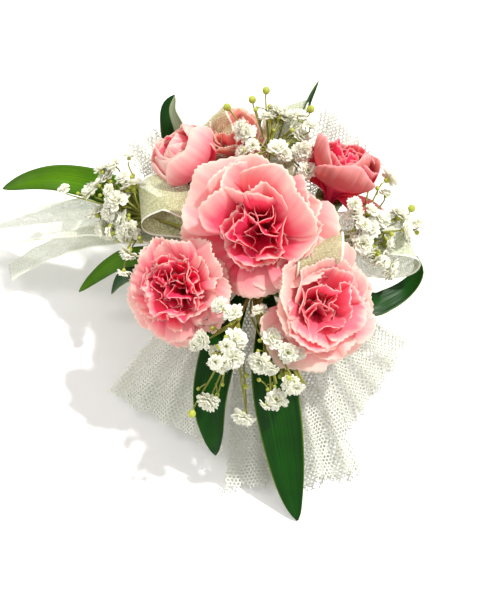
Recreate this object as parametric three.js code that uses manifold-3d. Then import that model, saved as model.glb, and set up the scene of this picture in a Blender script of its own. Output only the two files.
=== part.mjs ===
// A wrist corsage: six mini carnations, baby's breath, ruscus leaves, organza ribbon
// loops and stiff tulle fans, wired to a bundle that a clip plate holds on an elastic
// wristband. Millimetres, +Z up. The origin is the middle of the band's flat underside,
// which rests on the table; +Y points to the back of the corsage and +X to its right.
import * as THREE from 'three';
import { mergeVertices } from 'three/addons/utils/BufferGeometryUtils.js';
import Module from 'manifold-3d';

const wasm = await Module();
wasm.setup();

// Driving dimensions.
const GAP = 0.4;
const SMOOTHING = 0.06;
const BAND = { flat: 24, endRadius: 17, thickness: 1.2, width: 22 };
const PLATE = { length: 32, width: 20, thickness: 0.8, corner: 4 };
const TAB = { width: 5, offset: 5, reach: 8.4, shoulder: 8, top: 12 };
const BUNDLE = { radius: 7, length: 20, height: 9 };
const WIRE = { radius: 0.5, turns: 2, pitch: 1.5, place: 14.2 };
const CALYX = { length: 10, mouth: 5, foot: 2.3, cupDepth: 3.6, wall: 0.9 };
const STEM_RADIUS = 1.4;
const RIBBON = { width: 16, thickness: 0.6 };
const TULLE_THICKNESS = 0.9;
const LEAF_THICKNESS = 0.8;
const SPRIG = { stem: 0.8, branch: 0.55, floret: 3.9, bud: 1.5 };

const BAND_TOP = 2 * (BAND.endRadius + BAND.thickness);
const PLATE_BASE = BAND_TOP + GAP;
const BUNDLE_BASE = PLATE_BASE + PLATE.thickness + GAP;
const BUNDLE_MIDDLE = BUNDLE_BASE + BUNDLE.height / 2;

const LOOKS = {
  band: { color: '#f3f0e6', roughness: 0.6, metalness: 0 },
  plate: { color: '#e9e9e4', roughness: 0.45, metalness: 0 },
  tape: { color: '#5d8a3a', roughness: 0.7, metalness: 0 },
  wire: { color: '#6f7f52', roughness: 0.4, metalness: 0.6 },
  petal: { color: '#f59bae', roughness: 0.65, metalness: 0 },
  calyx: { color: '#9aab5e', roughness: 0.6, metalness: 0 },
  sprig: { color: '#f4f3e2', roughness: 0.7, metalness: 0 },
  leaf: { color: '#2f6b1f', roughness: 0.4, metalness: 0 },
  ribbon: { color: '#e9ecd8', roughness: 0.35, metalness: 0 },
  tulle: { color: '#f7f7f2', roughness: 0.8, metalness: 0 },
};

// Carnation heads: centre, the way the bloom faces, radius, dome height above the centre
// and depth below it, and the number of ruffles round the rim.
const CARNATIONS = [
  { name: 'centre', at: [1, -2, 70], faces: [0.02, -0.3, 0.95], radius: 24.5, dome: 12, depth: 8, ruffles: 9 },
  { name: 'front_left', at: [-30, -21, 56], faces: [-0.42, -0.45, 0.79], radius: 19, dome: 12, depth: 8, ruffles: 8 },
  { name: 'front_right', at: [22, -28, 54], faces: [0.36, -0.48, 0.8], radius: 19.5, dome: 11, depth: 8, ruffles: 8 },
  { name: 'back_left', at: [-23, 32, 59], faces: [-0.6, 0.3, 0.74], radius: 13.5, dome: 12, depth: 10, ruffles: 6 },
  { name: 'back_right', at: [30, 26, 56], faces: [0.42, 0.5, 0.76], radius: 15, dome: 10, depth: 10, ruffles: 6 },
  { name: 'back', at: [-7, 42, 54], faces: [-0.1, 0.5, 0.85], radius: 12.5, dome: 8, depth: 7, ruffles: 6 },
];

// Leaves: points along the midrib from the bundle to the tip, greatest width, and the way
// the upper face looks at the base and at the tip.
const LEAVES = [
  { name: 'left_long', width: 12, faceBase: [0, 0.2, 1], faceTip: [0, -0.75, 0.66],
    midrib: [[-9, 6, 44], [-26, 12, 42], [-47, 26, 41], [-59, 31, 43], [-72, 34, 43], [-83, 35, 40], [-94, 35, 34]] },
  { name: 'left_short', width: 8, faceBase: [0, 0, 1], faceTip: [-0.3, -0.3, 0.9],
    midrib: [[-9, 0, 41], [-28, 4, 38], [-46, 8, 30], [-53, 8, 25], [-60, 6, 19], [-66, 3, 14]] },
  { name: 'left_under', width: 10, faceBase: [0, 0, 1], faceTip: [-0.8, 0, 0.6],
    midrib: [[-9, -3, 40], [-26, 0, 36], [-43, 3, 30], [-50, 3, 23], [-54, 1, 16]] },
  { name: 'back_left', width: 10, faceBase: [0, 0, 1], faceTip: [-0.5, -0.7, 0.5],
    midrib: [[-6, 12, 44], [-16, 28, 43], [-27, 43, 48], [-31, 49, 56], [-32, 53, 60], [-30, 56, 64]] },
  { name: 'back_right', width: 6, faceBase: [0, 0, 1], faceTip: [0.9, -0.2, 0.3],
    midrib: [[4, 14, 44], [10, 30, 46], [15, 46, 54], [17, 50, 62], [19, 53, 67], [22, 57, 71]] },
  { name: 'right', width: 9, faceBase: [0, 0, 1], faceTip: [-0.5, -0.6, 0.6],
    midrib: [[8, -4, 42], [24, -10, 36], [40, -11, 29], [47, -8, 27], [54, -3, 27], [58, 1, 31], [57, 5, 36]] },
  { name: 'front_left', width: 13, faceBase: [0, 0, 1], faceTip: [-0.1, -0.55, 0.83],
    midrib: [[-4, -13, 43], [-12, -30, 40], [-16, -43, 32], [-17, -51, 24], [-16, -58, 14], [-15, -63, 6]] },
  { name: 'front_right', width: 16, faceBase: [0, 0, 1], faceTip: [0.1, -0.45, 0.9],
    midrib: [[3, -14, 43], [5, -38, 40], [6, -49, 32], [8, -58, 22], [10, -67, 13], [12, -76, 5], [14, -83, 0.7]] },
];

// Baby's breath sprigs: the main stem's points, then the florets and the round buds.
const SPRIGS = [
  { name: 'left', stem: [[-7, 5, 44], [-24, 10, 46], [-40, 16, 45]],
    florets: [[-55, 31, 50], [-61, 27, 46], [-59, 21, 41], [-51, 20, 51], [-50, 15, 45], [-46, 9, 46],
      [-47, 3, 41], [-56, 15, 38], [-45, 26, 52]], buds: [] },
  { name: 'back', stem: [[1, 14, 45], [3, 27, 54], [4, 34, 60]],
    florets: [[-5, 37, 68], [4, 45, 67], [10, 47, 65], [16, 37, 66], [7, 30, 69], [16, 29, 67]],
    buds: [[-11, 47, 69], [-2, 51, 68], [3, 55, 68], [19, 49, 65]] },
  { name: 'right', stem: [[8, 2, 45], [22, 5, 47], [34, 6, 48]],
    florets: [[34, 9, 59], [39, 5, 56], [37, -1, 54], [44, 10, 54], [47, 4, 47], [51, 15, 49], [48, -3, 41],
      [43, -3, 46], [53, 9, 43], [47, 23, 60]], buds: [[55, 17, 49]] },
  { name: 'front_left', stem: [[-2, -14, 45], [-5, -25, 51], [-7, -32, 54]],
    florets: [[-9, -34, 64], [-20, -40, 55], [-7, -42, 60], [-8, -48, 56], [-14, -48, 50], [-18, -55, 37],
      [-6, -59, 33]], buds: [[-23, -58, 35]] },
  { name: 'front_right', stem: [[2, -14, 45], [0, -26, 49], [2, -38, 50]],
    florets: [[0, -48, 53], [5, -40, 57], [10, -45, 55], [11, -53, 47], [6, -56, 42]], buds: [] },
];

// Ribbon loops and the tail: points along the ribbon's middle, and the line that its width
// follows at the two ends.
const RIBBONS = [
  { name: 'loop_left', across: [-0.1, 1, 0.05], acrossEnd: [-0.1, 1, 0.05],
    route: [[-9, 13, 45], [-24, 15, 45], [-38, 16, 46], [-42, 17, 51], [-39, 17, 57], [-33, 17, 60], [-27, 15, 58],
      [-20, 13, 51], [-9, 13, 48]] },
  { name: 'loop_right', across: [0.8, 0.6, -0.1], acrossEnd: [0.8, 0.6, -0.1],
    route: [[10, -2, 47], [16, -6, 51], [22, -10, 58], [24, -14, 66], [26, -16, 69], [28, -15, 67], [27, -11, 61],
      [22, -6, 52], [12, 1, 47]] },
  { name: 'loop_back', across: [0.7, 0.4, 0.6], acrossEnd: [0.7, 0.4, 0.6],
    route: [[-3, 13, 46], [-8, 26, 50], [-15, 41, 56], [-17, 47, 60], [-16, 50, 57], [-12, 44, 51], [-1, 14, 44]] },
  { name: 'loop_top', across: [0.9, 0, 0.4], acrossEnd: [0.9, 0, 0.4],
    route: [[3, 14, 46], [6, 32, 52], [9, 46, 59], [11, 52, 62], [11, 54, 58], [9, 46, 52], [4, 15, 44]] },
  { name: 'loop_side', across: [-0.25, 0.85, 0.35], acrossEnd: [-0.25, 0.85, 0.35],
    route: [[9, 6, 45], [28, 8, 46], [44, 8, 47], [52, 8, 45], [55, 7, 40], [52, 6, 35], [42, 5, 36], [26, 5, 40],
      [9, 5, 42]] },
  { name: 'tail', across: [-0.2, 0.95, 0.2], acrossEnd: [0.1, 1, -0.1],
    route: [[-9, 8, 42], [-28, 13, 40], [-48, 20, 38], [-60, 23, 34], [-78, 26, 26], [-96, 29, 17], [-106, 31, 14]] },
];

// Tulle fans: points along the middle from the bundle outward, the width at both ends, the
// number and depth of the pleats, and the line that the outer edge follows.
const FANS = [
  { name: 'front_left', narrow: 10, wide: 44, pleats: 3, depth: 2.2, edge: [0.62, -0.72, 0.1],
    route: [[-9, -9, 39.2], [-19, -21, 32], [-28, -36, 18], [-33, -45, 8]] },
  { name: 'front', narrow: 8, wide: 26, pleats: 2, depth: 1.6, edge: [1, -0.1, 0],
    route: [[-1, -17, 39.6], [-3, -36, 29], [-3, -56, 12], [-2, -72, 3]] },
  { name: 'front_right', narrow: 8, wide: 28, pleats: 2, depth: 1.8, edge: [0.9, 0.4, 0],
    route: [[8, -15, 38.6], [13, -34, 27], [19, -54, 10], [22, -70, 3]] },
  { name: 'right', narrow: 8, wide: 32, pleats: 3, depth: 1.8, edge: [0.45, 0.88, 0.1],
    route: [[10, -6, 39.2], [23, -17, 29], [34, -25, 15], [44, -29, 6]] },
  { name: 'back_right', narrow: 8, wide: 30, pleats: 3, depth: 1.6, edge: [0.8, -0.6, 0],
    route: [[8, 11, 39.2], [18, 28, 39], [28, 41, 46], [36, 47, 54]] },
  { name: 'back_left', narrow: 8, wide: 24, pleats: 3, depth: 1.6, edge: [0.5, 0.86, 0.1],
    route: [[-9, 11, 39.2], [-22, 25, 38], [-34, 40, 43], [-42, 50, 49]] },
];

const group = new THREE.Group();
const placed = [];

function vector([x, y, z]) {
  return new THREE.Vector3(x, y, z);
}

function welded(geometry) {
  const bare = geometry.clone();
  bare.deleteAttribute('normal');
  bare.deleteAttribute('uv');
  bare.clearGroups();
  return mergeVertices(bare, 1e-4);
}

function solidOf(geometry) {
  const closed = welded(geometry);
  const vertProperties = new Float32Array(closed.attributes.position.array);
  const triVerts = new Uint32Array(closed.index.array);
  return new wasm.Manifold(new wasm.Mesh({ numProp: 3, vertProperties, triVerts }));
}

function geometryOf(solid) {
  const mesh = solid.getMesh();
  const geometry = new THREE.BufferGeometry();
  geometry.setAttribute('position', new THREE.BufferAttribute(new Float32Array(mesh.vertProperties), 3));
  geometry.setIndex(new THREE.BufferAttribute(new Uint32Array(mesh.triVerts), 1));
  geometry.computeVertexNormals();
  return geometry;
}

// The same surface moved outwards, which keeps the gap between neighbours.
function grown(geometry, distance) {
  const wide = welded(geometry);
  wide.computeVertexNormals();
  const { position, normal } = wide.attributes;
  for (let i = 0; i < position.count; i += 1) {
    const point = new THREE.Vector3().fromBufferAttribute(position, i);
    point.addScaledVector(new THREE.Vector3().fromBufferAttribute(normal, i), distance);
    position.setXYZ(i, point.x, point.y, point.z);
  }
  return wide;
}

function largestPart(solid) {
  const parts = solid.decompose();
  return parts.reduce((best, part) => (part.volume() > best.volume() ? part : best), parts[0]);
}

// The main body of a cut piece, without the slivers and needless edges that cutting leaves.
function trimmed(solid) {
  return largestPart(largestPart(solid).simplify(SMOOTHING));
}

// Adds a piece, cut back from every piece that is already in place.
function place(name, look, geometry) {
  geometry.computeBoundingBox();
  const box = geometry.boundingBox.clone().expandByScalar(2 * GAP);
  let solid = solidOf(geometry);
  let cut = false;
  for (const other of placed) {
    if (other.box.intersectsBox(box)) {
      solid = solid.subtract(solidOf(grown(other.geometry, GAP)));
      cut = true;
    }
  }
  const shape = cut ? geometryOf(trimmed(solid)) : geometry;
  const mesh = new THREE.Mesh(shape, new THREE.MeshStandardMaterial(LOOKS[look]));
  mesh.name = name;
  group.add(mesh);
  placed.push({ geometry: shape, box });
}

function stadium(flat, radius) {
  const outline = new THREE.Shape();
  outline.moveTo(-flat / 2, -radius);
  outline.lineTo(flat / 2, -radius);
  outline.absarc(flat / 2, 0, radius, -Math.PI / 2, Math.PI / 2, false);
  outline.lineTo(-flat / 2, radius);
  outline.absarc(-flat / 2, 0, radius, Math.PI / 2, 1.5 * Math.PI, false);
  return outline;
}

// An outline in X and Z, given its width along Y about the middle.
function acrossBody(outline, width, segments) {
  const geometry = new THREE.ExtrudeGeometry(outline, { depth: width, bevelEnabled: false, curveSegments: segments });
  geometry.rotateX(Math.PI / 2);
  geometry.translate(0, width / 2, 0);
  return geometry;
}

function wristband() {
  const outer = stadium(BAND.flat, BAND.endRadius + BAND.thickness);
  outer.holes.push(stadium(BAND.flat, BAND.endRadius));
  const geometry = acrossBody(outer, BAND.width, 12);
  geometry.translate(0, 0, BAND.endRadius + BAND.thickness);
  return geometry;
}

function clipTab(side, y) {
  const outline = new THREE.Shape();
  const t = PLATE.thickness;
  const r = TAB.reach;
  outline.moveTo(r, 0);
  outline.lineTo(r, TAB.shoulder);
  outline.lineTo(r - 4, TAB.top);
  outline.lineTo(r - 4 - t * 0.7, TAB.top - t * 0.7);
  outline.lineTo(r - t, TAB.shoulder - t * 0.4);
  outline.lineTo(r - t, 0);
  const geometry = acrossBody(outline, TAB.width, 1);
  if (side < 0) {
    geometry.rotateZ(Math.PI);
  }
  geometry.translate(0, y, PLATE_BASE);
  return geometry;
}

// The plastic plate under the stems, with four tabs folded up over the bundle.
function clipPlate() {
  const { length, width, thickness, corner } = PLATE;
  const outline = new THREE.Shape();
  outline.moveTo(-length / 2 + corner, -width / 2);
  outline.lineTo(length / 2 - corner, -width / 2);
  outline.absarc(length / 2 - corner, -width / 2 + corner, corner, -Math.PI / 2, 0, false);
  outline.absarc(length / 2 - corner, width / 2 - corner, corner, 0, Math.PI / 2, false);
  outline.absarc(-length / 2 + corner, width / 2 - corner, corner, Math.PI / 2, Math.PI, false);
  outline.absarc(-length / 2 + corner, -width / 2 + corner, corner, Math.PI, 1.5 * Math.PI, false);
  const flat = new THREE.ExtrudeGeometry(outline, { depth: thickness, bevelEnabled: false, curveSegments: 4 });
  flat.translate(0, 0, PLATE_BASE);
  let solid = solidOf(flat);
  for (const side of [-1, 1]) {
    for (const y of [-TAB.offset, TAB.offset]) {
      solid = solid.add(solidOf(clipTab(side, y)));
    }
  }
  return geometryOf(solid);
}

function stemBundle() {
  const geometry = new THREE.CapsuleGeometry(BUNDLE.radius, BUNDLE.length, 5, 16);
  geometry.scale(1, 1, BUNDLE.height / (2 * BUNDLE.radius));
  geometry.translate(0, 0, BUNDLE_MIDDLE);
  return geometry;
}

function tube(points, radius, sides, steps) {
  const section = new THREE.Shape();
  section.absarc(0, 0, radius, 0, 2 * Math.PI, false);
  const extrudePath = new THREE.CatmullRomCurve3(points);
  return new THREE.ExtrudeGeometry(section, { steps, curveSegments: sides, bevelEnabled: false, extrudePath });
}

// The wire that ties the stems: a few close turns round the bundle's front end.
function bindingWire() {
  const points = [];
  const perTurn = 14;
  const reach = WIRE.radius + GAP;
  for (let i = 0; i <= WIRE.turns * perTurn; i += 1) {
    const turn = i / perTurn;
    const angle = 2 * Math.PI * turn;
    const y = -WIRE.place + WIRE.pitch * turn;
    const narrowing = Math.sqrt(Math.max(0, 1 - (Math.max(0, -y - BUNDLE.length / 2) / BUNDLE.radius) ** 2));
    const x = (BUNDLE.radius * narrowing + reach) * Math.cos(angle);
    const z = (BUNDLE.height / 2 * narrowing + reach) * Math.sin(angle);
    points.push(new THREE.Vector3(x, y, BUNDLE_MIDDLE + z));
  }
  return tube(points, WIRE.radius, 3, 28);
}

// Turns a shape made along +Z to face another way, then moves it to its place.
function faced(geometry, faces, at) {
  const turn = new THREE.Quaternion().setFromUnitVectors(new THREE.Vector3(0, 0, 1), vector(faces).normalize());
  geometry.applyQuaternion(turn);
  geometry.translate(...at);
  return geometry;
}

// All of a bloom's petals as one ruffled dome, whose neck stands in the calyx.
function petals({ at, faces, radius, dome, depth, ruffles }) {
  const neck = CALYX.mouth - CALYX.wall - GAP;
  const profile = [[0, -depth - 3.2], [neck, -depth - 3.2], [neck, -depth], [0.6 * radius, -0.6 * depth],
    [0.94 * radius, -0.2 * depth], [radius, 0.1 * dome], [0.82 * radius, 0.65 * dome], [0.45 * radius, dome],
    [0, 0.96 * dome]];
  const outline = profile.map(([r, z]) => new THREE.Vector2(r, z));
  const geometry = new THREE.LatheGeometry(outline, 3 * ruffles);
  const { position } = geometry.attributes;
  for (let i = 0; i < position.count; i += 1) {
    const [x, y, z] = [position.getX(i), position.getY(i), position.getZ(i)];
    const outward = Math.max(0, Math.hypot(x, z) / radius - 0.4);
    const wave = Math.cos(ruffles * Math.atan2(z, x));
    position.setXYZ(i, x * (1 + 0.06 * outward * wave), y + 2.2 * outward * wave, z * (1 + 0.06 * outward * wave));
  }
  geometry.rotateX(Math.PI / 2);
  return faced(geometry, faces, at);
}

function calyx({ at, faces, depth }) {
  const { length, mouth, foot, cupDepth, wall } = CALYX;
  const inner = mouth - wall;
  const profile = [[0, -length], [foot * 0.8, -length], [foot * 1.6, -length * 0.75], [mouth * 0.92, -length * 0.3],
    [mouth, 0], [inner, 0], [inner, -cupDepth], [0, -cupDepth]];
  const geometry = new THREE.LatheGeometry(profile.map(([r, z]) => new THREE.Vector2(r, z)), 12);
  geometry.rotateX(Math.PI / 2);
  geometry.translate(0, 0, -depth - GAP);
  return faced(geometry, faces, at);
}

function flowerStem({ at, faces, depth }) {
  const axis = vector(faces).normalize();
  const foot = vector(at).addScaledVector(axis, -depth - CALYX.length);
  const bend = foot.clone().addScaledVector(axis, -1.5);
  const root = new THREE.Vector3(0, Math.max(-9, Math.min(9, foot.y)), BUNDLE_MIDDLE);
  const middle = bend.clone().lerp(root, 0.5);
  return tube([foot, bend, middle, root], STEM_RADIUS, 3, 8);
}

// A thin strip bent along a curve: its width, its face and its waves change along the way.
function strip({ route, thickness, steps, columns, width, side, wave = () => 0 }) {
  const curve = new THREE.CatmullRomCurve3(route.map(vector), false, 'centripetal');
  const geometry = new THREE.BoxGeometry(1, 1, 1, steps, columns, 1);
  const { position } = geometry.attributes;
  for (let i = 0; i < position.count; i += 1) {
    const along = position.getX(i) + 0.5;
    const tangent = curve.getTangentAt(along);
    const across = side(along, tangent);
    const normal = new THREE.Vector3().crossVectors(tangent, across).normalize();
    const lift = position.getZ(i) * thickness + wave(along, position.getY(i));
    const point = curve.getPointAt(along).addScaledVector(across, position.getY(i) * width(along));
    point.addScaledVector(normal, lift);
    position.setXYZ(i, point.x, point.y, point.z);
  }
  return geometry;
}

function squareTo(direction, tangent) {
  return direction.addScaledVector(tangent, -direction.dot(tangent)).normalize();
}

function leafWidth(along) {
  const rise = Math.min(1, 0.25 + 2.2 * along);
  const fall = Math.sqrt(Math.max(0, 1 - ((along - 0.45) / 0.55) ** 2));
  return along < 0.45 ? rise : Math.max(0.04, fall ** 1.3);
}

function leaf({ midrib, width, faceBase, faceTip }) {
  return strip({
    route: midrib, thickness: LEAF_THICKNESS, steps: 14, columns: 2,
    width: (along) => width * leafWidth(along),
    side: (along, tangent) => {
      const face = vector(faceBase).lerp(vector(faceTip), along);
      return new THREE.Vector3().crossVectors(face, tangent).normalize();
    },
  });
}

function ribbon({ route, across, acrossEnd }) {
  return strip({
    route, thickness: RIBBON.thickness, steps: 18, columns: 1,
    width: () => RIBBON.width,
    side: (along, tangent) => squareTo(vector(across).lerp(vector(acrossEnd), along), tangent),
  });
}

function fan({ route, narrow, wide, pleats, depth, edge }) {
  return strip({
    route, thickness: TULLE_THICKNESS, steps: 4, columns: 4 * pleats,
    width: (along) => narrow + (wide - narrow) * along,
    side: (along, tangent) => squareTo(vector(edge), tangent),
    wave: (along, place) => depth * (0.3 + 0.7 * along) * Math.cos(2 * Math.PI * pleats * place),
  });
}

// A sprig's main stem with a branch to every floret and bud, joined in one solid.
function sprig({ stem, florets, buds }) {
  const fork = vector(stem[stem.length - 1]);
  let solid = solidOf(tube(stem.map(vector), SPRIG.stem, 3, 6));
  solid = solid.add(solidOf(new THREE.IcosahedronGeometry(SPRIG.stem * 1.6, 0).translate(...fork.toArray())));
  const heads = [...florets.map((at) => [at, SPRIG.floret]), ...buds.map((at) => [at, SPRIG.bud])];
  for (const [at, radius] of heads) {
    const head = vector(at);
    const bend = fork.clone().lerp(head, 0.5).add(new THREE.Vector3(0, 0, 0.6));
    solid = solid.add(solidOf(tube([fork, bend, head], SPRIG.branch, 2, 3)));
    const ball = new THREE.SphereGeometry(radius, 6, 4);
    ball.translate(...at);
    solid = solid.add(solidOf(ball));
  }
  return geometryOf(trimmed(solid));
}

place('wristband', 'band', wristband());
place('clip_plate', 'plate', clipPlate());
place('stem_bundle', 'tape', stemBundle());
place('binding_wire', 'wire', bindingWire());
for (const flower of CARNATIONS) {
  place(`calyx_${flower.name}`, 'calyx', calyx(flower));
}
for (const flower of CARNATIONS) {
  place(`petals_${flower.name}`, 'petal', petals(flower));
}
for (const flower of CARNATIONS) {
  place(`stem_${flower.name}`, 'tape', flowerStem(flower));
}
for (const blade of LEAVES) {
  place(`leaf_${blade.name}`, 'leaf', leaf(blade));
}
for (const plant of SPRIGS) {
  place(`sprig_${plant.name}`, 'sprig', sprig(plant));
}
for (const piece of RIBBONS) {
  place(`ribbon_${piece.name}`, 'ribbon', ribbon(piece));
}
for (const sheet of FANS) {
  place(`tulle_${sheet.name}`, 'tulle', fan(sheet));
}

export default group;
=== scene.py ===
"""The looks of a wrist corsage: carnations, baby's breath, leaves, organza and tulle on a wristband."""

import math

import bpy
import numpy as np
from bpy.props import FloatProperty, FloatVectorProperty, IntProperty, PointerProperty
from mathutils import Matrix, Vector


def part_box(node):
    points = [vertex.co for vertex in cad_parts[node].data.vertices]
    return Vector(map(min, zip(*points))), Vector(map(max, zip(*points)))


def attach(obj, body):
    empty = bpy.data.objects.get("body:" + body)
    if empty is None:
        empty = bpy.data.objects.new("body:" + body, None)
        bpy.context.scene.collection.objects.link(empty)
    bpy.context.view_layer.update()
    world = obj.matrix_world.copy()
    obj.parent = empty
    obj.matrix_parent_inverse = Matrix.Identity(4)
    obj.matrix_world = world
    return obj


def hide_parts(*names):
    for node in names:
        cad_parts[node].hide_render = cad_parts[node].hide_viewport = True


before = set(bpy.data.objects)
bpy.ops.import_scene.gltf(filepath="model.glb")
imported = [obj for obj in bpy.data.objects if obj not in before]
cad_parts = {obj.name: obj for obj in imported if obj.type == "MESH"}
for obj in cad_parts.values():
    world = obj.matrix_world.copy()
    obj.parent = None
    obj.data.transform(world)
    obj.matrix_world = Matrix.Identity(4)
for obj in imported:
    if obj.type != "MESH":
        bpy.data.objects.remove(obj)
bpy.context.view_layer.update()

bl_info = {
    "name": "Wrist corsage",
    "version": (1, 0, 0),
    "blender": (4, 5, 0),
    "location": "3D View > Sidebar > Corsage",
    "description": "Builds the petals, greenery, ribbon, net and band of a wrist corsage round its frame",
    "category": "Object",
}

MM = 0.001
UP = np.array([0.0, 0.0, 1.0])

# Blooms: rings of petals from the heart outwards. Each ring has its number of petals, their lean from the
# bloom's axis in degrees half way up and at the tip, then against the bloom's radius their length, half width
# and ruffle height, and last the ruffles across one petal. Guards are single petals on a chosen side.
BLOOMS = {
    "centre": dict(seed=12, slot="petal_crimson", core="crimson", tooth=1.0, tall=(0.45, 0.85, 0.2), bias=0.42,
        wrap=0.2,
        rings=[(5, 8, 14, 0.80, 0.34, 0.125, 1.6), (6, 20, 32, 0.88, 0.44, 0.125, 1.5),
        (6, 38, 50, 0.98, 0.52, 0.11, 1.35), (6, 58, 74, 1.14, 0.60, 0.085, 1.2),
        (7, 72, 90, 1.32, 0.66, 0.06, 1.1)], guards=[((1.0, 0.1, -0.1), 66, 82, 1.36, 0.6)]),
    "front_left": dict(seed=24, slot="petal_pink", core="pink", tooth=1.2, tall=(0.5, 0.8, 0.2), bias=0.24, wrap=0.2,
        rings=[(5, 8, 14, 0.86, 0.34, 0.125, 1.8), (6, 24, 36, 0.92, 0.42, 0.13, 1.7),
        (6, 44, 58, 1.02, 0.48, 0.12, 1.5), (7, 64, 82, 1.12, 0.54, 0.09, 1.4),
        (7, 80, 100, 1.22, 0.58, 0.07, 1.3)], guards=[((0.9, -0.3, -0.2), 70, 86, 1.34, 0.5)]),
    "front_right": dict(seed=35, slot="petal_pale", core="pale", tooth=1.0, tall=(-0.8, 0.5, 0.2), bias=0.32, wrap=0.2,
        rings=[(5, 8, 12, 0.90, 0.38, 0.115, 1.6), (5, 26, 34, 1.04, 0.50, 0.11, 1.4),
        (6, 44, 54, 1.16, 0.58, 0.095, 1.3), (6, 62, 78, 1.28, 0.66, 0.075, 1.2),
        (6, 78, 92, 1.40, 0.70, 0.055, 1.1)], guards=[((-0.9, 0.4, -0.1), 60, 78, 1.42, 0.56)]),
    "back_left": dict(seed=47, slot="petal_pink", core="bud", tooth=0.25, tall=(0.8, -0.4, 0.2), bias=0.12, wrap=0.85,
        rings=[(4, 10, -4, 1.36, 0.34, 0.09, 1.6), (5, 26, -14, 1.62, 0.52, 0.06, 1.3),
        (5, 44, -26, 1.92, 0.80, 0.03, 1.0), (5, 58, -34, 2.06, 1.0, 0.02, 0.8)], guards=[]),
    "back_right": dict(seed=59, slot="petal_crimson", core="side", tooth=0.35, tall=(-0.4, -0.9, 0.2), bias=0.12,
        wrap=0.8, rings=[(4, 10, 4, 1.30, 0.36, 0.10, 1.6), (5, 26, -4, 1.46, 0.50, 0.07, 1.3),
        (5, 46, -14, 1.70, 0.74, 0.04, 1.0), (6, 60, -10, 1.82, 0.86, 0.03, 0.8)],
        guards=[((0.9, -0.5, -0.2), 88, 100, 1.66, 0.36), ((0.5, -0.8, -0.4), 84, 92, 1.4, 0.34)]),
    "back": dict(seed=61, slot="petal_pale", core="cream", tooth=0.9, tall=(-0.3, 0.9, 0.2), bias=0.3, wrap=0.4, rings=[
        (4, 10, 14, 1.3, 0.40, 0.09, 1.5), (5, 26, 20, 1.5, 0.52, 0.08, 1.4), (6, 42, 30, 1.62, 0.64, 0.06, 1.1),
        (6, 58, 60, 1.5, 0.68, 0.05, 1.0)], guards=[]),
}

# Routes in millimetres, close to those of the frame's leaves, sprigs, ribbons and fans. Two leaves, the right loop,
# the tail's second strip and the fans in front and at the right are set differently here.
LEAVES = {
    "left_long": dict(width=12, face_base=(0, 0.2, 1), face_tip=(0, -0.75, 0.66), shade="bright",
        midrib=[(-9, 6, 44), (-26, 12, 42), (-47, 26, 41), (-59, 31, 43), (-72, 34, 43), (-83, 35, 40),
        (-94, 35, 34)]),
    "left_short": dict(width=8, face_tip=(-0.3, -0.3, 0.9), shade="bright",
        midrib=[(-9, 0, 41), (-28, 4, 38), (-46, 8, 30), (-53, 8, 25), (-60, 6, 19), (-66, 3, 14)]),
    "left_under": dict(width=10, face_tip=(-0.8, 0, 0.6), shade="dark",
        midrib=[(-9, -3, 40), (-26, 0, 36), (-43, 3, 30), (-50, 3, 23), (-54, 1, 16)]),
    "back_left": dict(width=14, face_tip=(-0.5, -0.7, 0.5), shade="sage",
        midrib=[(-6, 12, 44), (-16, 28, 43), (-27, 43, 48), (-31, 49, 56), (-32, 53, 60),
        (-30, 56, 64)]),
    "back_right": dict(width=6, face_tip=(0.9, -0.2, 0.3), shade="dark",
        midrib=[(4, 14, 44), (10, 30, 46), (15, 46, 54), (17, 50, 62), (19, 53, 67), (22, 57, 71)]),
    "right": dict(width=9, face_tip=(-0.5, -0.6, 0.6), shade="dark",
        midrib=[(8, -4, 42), (24, -10, 36), (40, -11, 29), (47, -8, 27), (54, -3, 27), (58, 1, 31),
        (57, 5, 36)]),
    "front_left": dict(width=13, face_tip=(-0.1, -0.55, 0.83), shade="dark",
        midrib=[(-4, -13, 43), (-12, -30, 40), (-16, -43, 32), (-17, -51, 26), (-16, -58, 18.6),
        (-15, -63, 12)]),
    "front_right": dict(width=16, face_tip=(0.1, -0.45, 0.9), shade="dark",
        midrib=[(3, -14, 43), (5, -38, 40), (6, -49, 32), (8, -58, 22), (10, -67, 13), (12, -76, 5),
        (14, -83, 0.9)]),
}
SPRIGS = {
    "left": dict(stem=[(-7, 5, 44), (-24, 10, 46), (-40, 16, 45)],
        florets=[(-55, 31, 50), (-61, 27, 46), (-59, 21, 41), (-51, 20, 51), (-50, 15, 45), (-46, 9, 46),
        (-47, 3, 41), (-56, 15, 38), (-45, 26, 52)], buds=[]),
    "back": dict(stem=[(1, 14, 45), (3, 27, 54), (4, 34, 60)],
        florets=[(-5, 37, 68), (4, 45, 67), (10, 47, 65), (16, 37, 66), (7, 30, 69), (16, 29, 67)],
        buds=[(-11, 47, 69), (-2, 51, 68), (3, 55, 68), (19, 49, 65)]),
    "right": dict(stem=[(8, 2, 45), (22, 5, 47), (34, 6, 48)],
        florets=[(34, 9, 59), (39, 5, 56), (37, -1, 54), (44, 10, 54), (47, 4, 47), (51, 15, 49),
        (48, -3, 41), (43, -3, 46), (53, 9, 43), (47, 23, 60)], buds=[(55, 17, 49)]),
    "front_left": dict(stem=[(-2, -14, 45), (-5, -25, 51), (-7, -32, 54)],
        florets=[(-9, -34, 64), (-20, -40, 55), (-7, -42, 60), (-8, -48, 56), (-14, -48, 50),
        (-18, -55, 37), (-6, -59, 33)], buds=[(-23, -58, 35)]),
    "front_right": dict(stem=[(2, -14, 45), (0, -26, 49), (2, -38, 50)],
        florets=[(0, -48, 53), (5, -40, 57), (10, -45, 55), (11, -53, 47), (6, -56, 42)], buds=[], strands=9,
        bunch=np.array([(-1, -15, 45), (0, -27, 48), (6, -40, 48), (11, -51, 43)])),
}
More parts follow.
